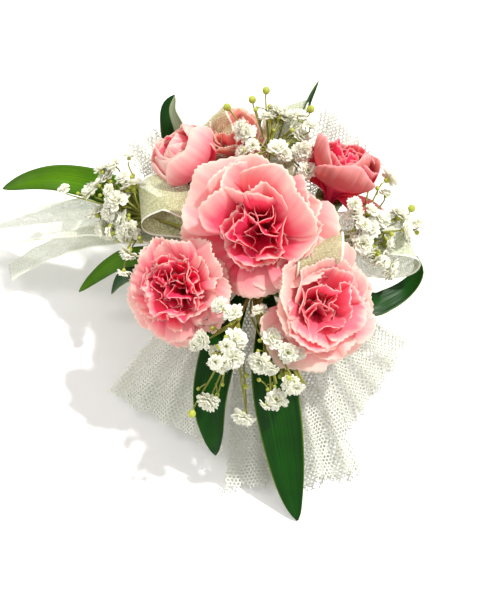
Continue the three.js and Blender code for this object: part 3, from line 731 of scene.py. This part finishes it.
class CORSAGE_OT_band(bpy.types.Operator):
    """Makes the ruched wristband, the clip plate, the taped bundle and its wire"""
    bl_idname = "corsage.band"
    bl_label = "Wristband and bundle"

    def execute(self, context):
        trims = context.scene.corsage_trims
        self.wristband(trims)
        self.bundle()
        self.wire()
        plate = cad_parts["clip_plate"]
        plate.data.materials.clear()
        plate.data.materials.append(plain_finish("clip_plastic", tint(240, 240, 234), 0.45))
        return {"FINISHED"}

    def wristband(self, trims):
        low, high = (np.array(corner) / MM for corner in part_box("wristband"))
        height, reach, width = high[2] - low[2], (high[0] - low[0]) / 2, high[1] - low[1]
        radius = (height - BAND) / 2
        centre, outward, share = stadium(2 * (reach - height / 2), radius, BAND_STEPS)
        t = np.linspace(-1, 1, BAND_COLUMNS)
        gather = np.cos(2 * math.pi * trims.ruches * share)[:, None]
        rise = 0.28 * (0.55 * gather * (1 - np.abs(np.cos(2 * math.pi * t)) ** 4) - 1)
        y = (low[1] + high[1]) / 2 + t * (width / 2 - 0.35 + 0.3 * gather * (np.abs(t) > 0.9))
        rings = []
        for side in (1, -1):
            offset = side * BAND / 2 + rise
            x = centre[:, :1] + outward[:, :1] * offset
            z = (low[2] + height / 2) + centre[:, 1:] + outward[:, 1:] * offset
            rings.append(np.stack([x, y, z], axis=-1))
        loop = np.concatenate([rings[0], rings[1][:, ::-1]], axis=1)
        count = loop.shape[1]
        index = np.arange(BAND_STEPS * count).reshape(BAND_STEPS, count)
        after, beside = np.roll(index, -1, axis=0), np.roll(index, -1, axis=1)
        corner = np.roll(after, -1, axis=1)
        faces = np.stack([index, after, corner, beside], -1).reshape(-1, 4)
        stock = Stock()
        stock.add(loop.reshape(-1, 3), faces, along=np.repeat(share, count),
                  across=np.tile(np.concatenate([t, t[::-1]]), BAND_STEPS))
        piece("wristband_satin", stock, [satin_finish(trims.satin)], ["wristband"])

    def bundle(self):
        low, high = (np.array(corner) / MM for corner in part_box("stem_bundle"))
        middle, half = (low + high) / 2, (high - low) / 2
        rings, sides = [], 40
        angle = np.linspace(0, 2 * math.pi, sides, endpoint=False)
        for v in np.linspace(-1, 1, 90):
            end = np.clip((abs(v) - 0.6) / 0.4, 0, 1)
            size = math.sqrt(max(0.0, 1 - end ** 2)) + 0.02
            turns = 0.5 + 0.5 * np.cos(angle + v * 26)
            r = size * (0.95 + 0.04 * turns ** 6)
            rings.append(np.stack([middle[0] + half[0] * r * np.cos(angle), np.full(sides, middle[1] + half[1] * v),
                                   middle[2] + half[2] * r * np.sin(angle)], axis=-1))
        stock = Stock()
        stock.closed_rings(np.array(rings)[:, ::-1])
        finish = stalk_finish("floral_tape_bundle", tint(96, 138, 62), tint(122, 160, 84), 0.7)
        piece("taped_bundle", stock, [finish], ["stem_bundle"])

    def wire(self):
        low, high = (np.array(corner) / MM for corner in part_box("binding_wire"))
        middle, half = (low + high) / 2, (high - low) / 2
        radius = 0.45
        turn = np.linspace(0, 2, 80)
        places = np.stack([middle[0] + (half[0] - radius) * np.cos(2 * math.pi * turn),
                           low[1] + radius + (high[1] - low[1] - 2 * radius) * turn / 2,
                           middle[2] + (half[2] - radius) * np.sin(2 * math.pi * turn)], axis=-1)
        stock = Stock()
        stock.tube(places, radius, 10)
        finish = plain_finish("floral_wire", tint(94, 110, 70), 0.4, 0.6)
        piece("wire_turns", stock, [finish], ["binding_wire"])


class CORSAGE_OT_calyxes(bpy.types.Operator):
    """Makes the green cup and the taped stem under every bloom"""
    bl_idname = "corsage.calyxes"
    bl_label = "Calyxes and stems"

    def execute(self, context):
        cup = stalk_finish("calyx_green", tint(84, 108, 40), tint(120, 140, 66))
        tape = stalk_finish("floral_tape_stem", tint(88, 130, 56), tint(118, 154, 80), 0.7)
        for name in BLOOMS:
            base, axis = calyx_axis(name)
            shape = node_points(f"calyx_{name}")
            length = np.ptp((shape - base) @ axis)
            stock = Stock()
            stock.closed_rings(calyx_rings(base, axis, length))
            piece(f"cup_{name}", stock, [cup], [f"calyx_{name}"])
            foot = base - axis * length
            root = node_points(f"stem_{name}")
            far = root[np.argsort(-np.linalg.norm(root - foot, axis=1))[:8]].mean(0)
            places, _, run = sampled([foot + axis * 0.5, foot - axis * 1.2, 0.5 * (foot + far) - axis * 0.4, far], 40)
            twist = np.linspace(0, run / 2.2, 40)
            stock = Stock()
            stock.tube(places, 1.3 + 0.12 * np.abs(np.cos(math.pi * twist)) ** 3, 12)
            piece(f"taped_stem_{name}", stock, [tape], [f"stem_{name}"])
        return {"FINISHED"}


class CORSAGE_OT_blooms(bpy.types.Operator):
    """Makes the ruffled, pinked petals of the six mini carnations"""
    bl_idname = "corsage.blooms"
    bl_label = "Carnation petals"

    def execute(self, context):
        colours = context.scene.corsage_blooms
        finishes = bloom_finishes(colours)
        for name, facts in BLOOMS.items():
            stock = bloom_stock(name, colours.thickness / MM)
            piece(f"carnation_{name}", stock, [finishes[facts["core"]]], [f"petals_{name}"])
        return {"FINISHED"}


def leaf_width(along):
    rise = np.minimum(1, 0.25 + 2.2 * along)
    fall = np.sqrt(np.clip(1 - ((along - 0.45) / 0.55) ** 2, 0, 1)) ** 1.3
    return np.where(along < 0.45, rise, np.maximum(0.015, fall))


class CORSAGE_OT_leaves(bpy.types.Operator):
    """Makes the lance-shaped leaves, folded a little along the midrib"""
    bl_idname = "corsage.leaves"
    bl_label = "Leaves"

    def execute(self, context):
        greens = context.scene.corsage_greens
        # Bright and dark are lit and shaded copies of one leaf green: painted light on the bright leaves, painted shade
        # on the dark-faced ones.
        finishes = {
            "bright": leaf_finish("leaf_bright", greens.bright, tint(124, 162, 8), tint(60, 96, 10)),
            "dark": leaf_finish("leaf_dark", greens.dark, tint(40, 104, 6), tint(96, 126, 40)),
            "sage": leaf_finish("leaf_sage", greens.dark, tint(48, 98, 24), tint(176, 190, 150), tint(178, 192, 152)),
        }
        for name, facts in LEAVES.items():
            places, ways, _ = sampled(facts["midrib"], LEAF_ROWS)
            along = np.linspace(0, 1, LEAF_ROWS)
            side = unit(np.cross(turning(facts.get("face_base", UP), facts["face_tip"], along), ways))
            normal = unit(np.cross(ways, side))
            t = np.linspace(-1, 1, LEAF_COLUMNS)
            half = facts["width"] / 2 * leaf_width(along)
            fold = 0.22 * np.outer(half, np.abs(t) ** 1.3)
            ripple = 0.25 * np.outer(np.sin(9 * along + len(name)), t ** 2 * np.sign(t))
            grid = strip(places, side, normal, np.outer(half, t), fold + ripple - 0.3)
            grid[..., 2] = np.maximum(grid[..., 2], ABOVE_TABLE)
            stock = Stock()
            stock.shell(grid, greens.leaf_thickness / MM, along[:, None], t, tone=len(name))
            piece(f"ruscus_{name}", stock, [finishes[facts["shade"]]], [f"leaf_{name}"])
        return {"FINISHED"}


def floret(stock, rng, middle, outward, radius):
    """A double floret: notched white petals in four rings above a small green calyx."""
    base = middle - outward * radius * 0.75
    for ring, (count, lean, reach) in enumerate(((6, 84, 1.0), (6, 58, 0.98), (5, 34, 0.92), (4, 12, 0.8))):
        for k in range(count):
            long = radius * 1.25 * reach * rng.uniform(0.88, 1.1)
            rows = np.linspace(0, 1, 5)
            t = np.linspace(-1, 1, 7)
            notch = 1 - 0.16 * np.exp(-(t / 0.22) ** 2) - 0.25 * t ** 4
            s = np.outer(rows, notch)
            angle = math.radians(lean * rng.uniform(0.85, 1.15))
            tilt = angle * smooth(0.1, 0.7, s)
            r = 0.4 + long * s * np.sin(tilt * 0.9)
            z = 0.5 + long * s * np.cos(tilt * 0.9)
            wave = radius * 0.09 * smooth(0.3, 1, s) * np.sin(3.4 * t * rng.uniform(0.7, 1.3)
                                                              + rng.uniform(0, 6.28))
            x = t * radius * 0.48 * (0.25 + 0.75 * smooth(0, 0.75, s))
            grid = np.stack([x, r - wave * np.cos(tilt), z + wave * np.sin(tilt) + 0.08 * radius * t ** 2], axis=-1)
            spin = 2 * math.pi * (k + 0.5 * (ring % 2)) / count + rng.uniform(-0.2, 0.2)
            stock.shell(placed(grid, base, outward, spin), FLORET_PETAL, s, t, tone=rng.uniform(0, 20),
                        ring=ring / 3)
    cup(stock, base, outward, radius * 0.36, radius * 0.62)


def cup(stock, base, outward, wide, long):
    """The green calyx under a floret."""
    outline = np.array([(0.25, -0.25), (0.62, -0.17), (0.95, 0.15), (1.0, 0.5), (0.85, 0.75)]) * (wide, long)
    stock.closed_rings(placed(turned(outline, 10), base, outward), tone=1.0, finish=1)


class CORSAGE_OT_sprigs(bpy.types.Operator):
    """Makes the baby's breath: branching stems with white florets and round buds"""
    bl_idname = "corsage.sprigs"
    bl_label = "Baby's breath"

    def execute(self, context):
        greens = context.scene.corsage_greens
        white = floret_finish(greens.floret_white, tint(226, 232, 178))
        cups = stalk_finish("sprig_calyx", tint(150, 160, 48), tint(186, 190, 84))
        stems = stalk_finish("sprig_stem", greens.stem, tint(118, 110, 48))
        for name, facts in SPRIGS.items():
            rng = np.random.default_rng(len(name) * 7 + 3)
            stock = Stock()
            fork = np.array(facts["stem"][-1], float)
            places, _, _ = sampled(facts["stem"], 24)
            stock.tube(places, np.linspace(0.75, 0.6, 24), 8, tone=3.0, finish=2)
            heads = [(np.array(p, float), greens.floret / MM) for p in facts["florets"]]
            repeats = 1 if "front" in name else 2
            heads += [(np.array(p) + rng.normal(size=3) * (4.2, 4.2, 3.2), rng.uniform(1.9, 2.7))
                      for p in facts["florets"] * repeats]
            heads += [(np.array(p, float), 1.4) for p in facts["buds"]]
            for _ in range(facts.get("strands", 0)):
                shift = rng.normal(size=3) * (1.3, 0.8, 1.0)
                places, _, _ = sampled(facts["bunch"] + np.outer((0.4, 0.9, 1.2, 1.8), shift), 24)
                stock.tube(places, rng.uniform(0.35, 0.55), 7, tone=rng.uniform(0, 9), finish=2)
            for middle, radius in heads:
                way = unit(middle - fork)
                outward = unit(way + 0.7 * UP * rng.uniform(0.2, 1.0) + 0.35 * rng.normal(size=3))
                foot = middle - outward * radius * 0.95
                self.branch(stock, rng, fork, foot, outward)
                if radius > 1.5:
                    floret(stock, rng, middle, outward, radius * rng.uniform(0.88, 1.08))
                else:
                    self.bud(stock, middle, outward, radius)
                self.side_buds(stock, rng, fork, foot)
            piece(f"baby_breath_{name}", stock, [white, cups, stems], [f"sprig_{name}"])
        return {"FINISHED"}

    def branch(self, stock, rng, start, end, outward):
        middle = 0.5 * (start + end) + rng.normal(size=3) * 0.6 - outward * 1.0
        places, _, _ = sampled([start, middle, end - outward * 1.5, end], 20)
        stock.tube(places, np.linspace(0.45, 0.28, 20), 6, tone=rng.uniform(0, 9), finish=2)

    def bud(self, stock, middle, outward, radius):
        outline = [(radius * (math.sqrt(max(0, 1 - h * h)) + 0.02), radius * 1.05 * h)
                   for h in np.cos(np.linspace(math.pi, 0, 9))]
        stock.closed_rings(placed(turned(outline, 12), middle, outward), tone=2.0, finish=1)

    def side_buds(self, stock, rng, fork, foot):
        """One or two unopened buds on short stalks off a branch."""
        for _ in range(rng.integers(1, 3)):
            place = fork + (foot - fork) * rng.uniform(0.45, 0.85)
            way = unit(unit(foot - fork) + 0.8 * rng.normal(size=3))
            tip = place + way * rng.uniform(2.5, 4.5)
            stock.tube(sampled([place, 0.5 * (place + tip) + 0.2, tip], 8)[0], 0.24, 6, tone=4.0, finish=2)
            self.bud(stock, tip, way, rng.uniform(0.6, 0.95))


def ribbon_grid(facts, width, rng, folds):
    """A ribbon's middle surface along its route, with soft creases, and gathered where it is tied in."""
    places, ways, run = sampled(facts["route"], RIBBON_ROWS)
    along = np.linspace(0, 1, RIBBON_ROWS)
    line = turning(facts["across"], facts.get("across_end", facts["across"]), along)
    side = unit(line - ways * np.sum(line * ways, axis=1)[:, None])
    normal = unit(np.cross(ways, side))
    t = np.linspace(-1, 1, RIBBON_COLUMNS)
    crease = 0.25 * np.sin(run * along * 0.55 + rng.uniform(0, 6))[:, None] * np.cos(1.3 * t + rng.uniform(0, 6))
    pleat = folds * np.outer(1 - 0.75 * along, np.sin(2 * math.pi * 1.6 * t + 0.8))
    gathered = 0.6 + 0.4 * smooth(0.0, 0.18, along)
    is_loop = np.linalg.norm(places[0] - places[-1]) < width / 2
    if is_loop:
        gathered = gathered * (0.6 + 0.4 * smooth(0.0, 0.18, 1 - along))
    grid = strip(places, side, normal, np.outer(gathered, t) * width / 2, crease + pleat)
    return grid, along[:, None] * run, t, run


class CORSAGE_OT_ribbons(bpy.types.Operator):
    """Makes the sheer organza loops and the long tail"""
    bl_idname = "corsage.ribbons"
    bl_label = "Organza ribbon"

    def execute(self, context):
        trims = context.scene.corsage_trims
        green = organza_finish("organza_green", trims.organza, trims.organza, 0.48)
        white = organza_finish("organza_white", tint(196, 206, 164), tint(232, 238, 226), 0.52)
        for name, facts in RIBBONS.items():
            rng = np.random.default_rng(len(name) + 5)
            grid, along, across, run = ribbon_grid(facts, trims.ribbon_width / MM, rng, 0.9 if name == "tail" else 0.0)
            stock = Stock()
            stock.shell(grid, RIBBON, along, across)
            area = trims.ribbon_width * run * MM
            if "under" in facts:
                narrow = trims.ribbon_width * facts["under"]["share"]
                grid, along, across, more = ribbon_grid(facts["under"], narrow / MM, rng, 0.4)
                stock.shell(grid, RIBBON, along, across)
                area, run = area + narrow * more * MM, run + more
            finish = white if name in ("tail", "loop_side", "loop_top") else green
            made = piece(f"organza_{name}", stock, [finish], [f"ribbon_{name}"])
        return {"FINISHED"}


def net_flat(narrow, wide, length, side, thread, rng):
    """A six-sided net laid flat: corners, joints and bars, cut to the fan's outline."""
    turn = math.pi / 2
    ways = [np.array([math.cos(turn + k * 2 * math.pi / 3), math.sin(turn + k * 2 * math.pi / 3)]) for k in range(3)]
    nodes = {}
    across_step, along_step = math.sqrt(3) * side, 1.5 * side
    widest = max(narrow, wide)
    jag = rng.uniform(0, 3.2, 40)
    for j in range(int(length / along_step) + 2):
        for i in range(-int(widest / across_step) - 2, int(widest / across_step) + 3):
            x = (i + 0.5 * (j % 2)) * across_step
            for kind, y in ((0, j * along_step), (1, j * along_step + side)):
                share = y / length
                cut = length - jag[int(abs(x) * 0.7 + (20 if x > 0 else 0)) % 40]
                if y <= cut and abs(x) <= (narrow + (wide - narrow) * share) / 2:
                    nodes[(kind, round(x, 1), round(y, 1))] = np.array([x, y])
    corner = thread / math.sqrt(3)
    order = {key: n for n, key in enumerate(nodes)}
    points = np.zeros((len(nodes) * 3, 2))
    bars = []
    for key, n in order.items():
        sign = 1 if key[0] == 0 else -1
        spot = nodes[key]
        for k in range(3):
            points[3 * n + k] = spot - sign * ways[k] * corner
    for key, n in order.items():
        for k in range(3):
            other = find_near(order, 1, nodes[key] + ways[k] * side) if key[0] == 0 else None
            if other is not None:
                i, j = (k + 1) % 3, (k + 2) % 3
                bars.append((3 * n + i, 3 * n + j, 3 * other + i, 3 * other + j))
    return points, len(nodes), bars


def find_near(order, kind, spot):
    """The number of the net's node at a spot, which may have been rounded the other way."""
    for dx in (0, -0.1, 0.1):
        for dy in (0, -0.1, 0.1):
            found = order.get((kind, round(round(spot[0], 1) + dx, 1), round(round(spot[1], 1) + dy, 1)))
            if found is not None:
                return found
    return None


class CORSAGE_OT_tulle(bpy.types.Operator):
    """Makes the stiff net fans from their separate threads"""
    bl_idname = "corsage.tulle"
    bl_label = "Tulle fans"

    def execute(self, context):
        trims = context.scene.corsage_trims
        finish = net_finish(tint(240, 241, 231))
        for number, (name, facts) in enumerate(FANS.items()):
            rng = np.random.default_rng(number + 70)
            places, ways, length = sampled(facts["route"], FAN_STATIONS)
            stations = np.linspace(0, 1, FAN_STATIONS)
            narrow, wide = facts["narrow"], facts["wide"]
            line = np.array(facts["edge"], float)
            stock = Stock()
            for layer in (0, 1):
                flat, joints, bars = net_flat(narrow, wide, length, trims.mesh / MM, trims.thread / MM, rng)
                share = np.clip(flat[:, 1] / length, 0, 1)
                centre = np.stack([np.interp(share, stations, places[:, k]) for k in range(3)], axis=1)
                way = unit(np.stack([np.interp(share, stations, ways[:, k]) for k in range(3)], axis=1))
                side = unit(line - way * (way @ line)[:, None])
                normal = unit(np.cross(way, side))
                wide_here = narrow + (wide - narrow) * share
                wave = facts["depth"] * (0.3 + 0.7 * share) * np.cos(2 * math.pi * facts["pleats"]
                                                                     * flat[:, 0] / wide_here + 1.1 * layer)
                wave = wave - LAYER_GAP * layer
                spot = centre + side * flat[:, :1] + normal * wave[:, None]
                spot[:, 2] = np.maximum(spot[:, 2], ABOVE_TABLE + 0.5 * (1 - layer))
                self.threads(stock, spot, normal, joints, bars)
            made = piece(f"net_{name}", stock, [finish], [f"tulle_{name}"], smooth_faces=False)
        return {"FINISHED"}

    def threads(self, stock, spot, normal, joints, bars):
        size = len(spot)
        tops = [(3 * n, 3 * n + 1, 3 * n + 2) for n in range(joints)]
        tops += [(a_i, b_j, b_i, a_j) for a_i, a_j, b_i, b_j in bars]
        tops = [face if self.upward(spot, normal, face) else face[::-1] for face in tops]
        edges = {(face[k], face[(k + 1) % len(face)]) for face in tops for k in range(len(face))}
        faces = tops + [tuple(v + size for v in face[::-1]) for face in tops]
        faces += [(second, first, first + size, second + size) for first, second in sorted(edges)
                  if (second, first) not in edges]
        stock.add(np.concatenate([spot + normal * HALF_NET, spot - normal * HALF_NET]), faces)

    def upward(self, spot, normal, face):
        a, b, c = (spot[v] for v in face[:3])
        return np.dot(np.cross(b - a, c - a), normal[face[0]]) > 0


class CORSAGE_PT_panel(bpy.types.Panel):
    """Lists the corsage's pieces in the sidebar"""
    bl_label = "Wrist corsage"
    bl_idname = "CORSAGE_PT_panel"
    bl_space_type = "VIEW_3D"
    bl_region_type = "UI"
    bl_category = "Corsage"

    def draw(self, context):
        for operator in OPERATORS:
            self.layout.operator(operator.bl_idname)


GROUPS = {"corsage_blooms": CorsageBlooms, "corsage_greens": CorsageGreens, "corsage_trims": CorsageTrims,
          "corsage_stage": CorsageStage}
OPERATORS = (CORSAGE_OT_stage, CORSAGE_OT_band, CORSAGE_OT_calyxes, CORSAGE_OT_blooms, CORSAGE_OT_leaves,
             CORSAGE_OT_sprigs, CORSAGE_OT_ribbons, CORSAGE_OT_tulle)


def register():
    for group in GROUPS.values():
        bpy.utils.register_class(group)
    for name, group in GROUPS.items():
        setattr(bpy.types.Scene, name, PointerProperty(type=group))
    for operator in OPERATORS:
        bpy.utils.register_class(operator)
    bpy.utils.register_class(CORSAGE_PT_panel)


def unregister():
    bpy.utils.unregister_class(CORSAGE_PT_panel)
    for operator in reversed(OPERATORS):
        bpy.utils.unregister_class(operator)
    for name, group in reversed(list(GROUPS.items())):
        delattr(bpy.types.Scene, name)
        bpy.utils.unregister_class(group)


def main():
    register()
    bpy.ops.corsage.stage()
    bpy.ops.corsage.band()
    bpy.ops.corsage.calyxes()
    bpy.ops.corsage.blooms()
    bpy.ops.corsage.leaves()
    bpy.ops.corsage.sprigs()
    bpy.ops.corsage.ribbons()
    bpy.ops.corsage.tulle()


if __name__ == "__main__":
    main()
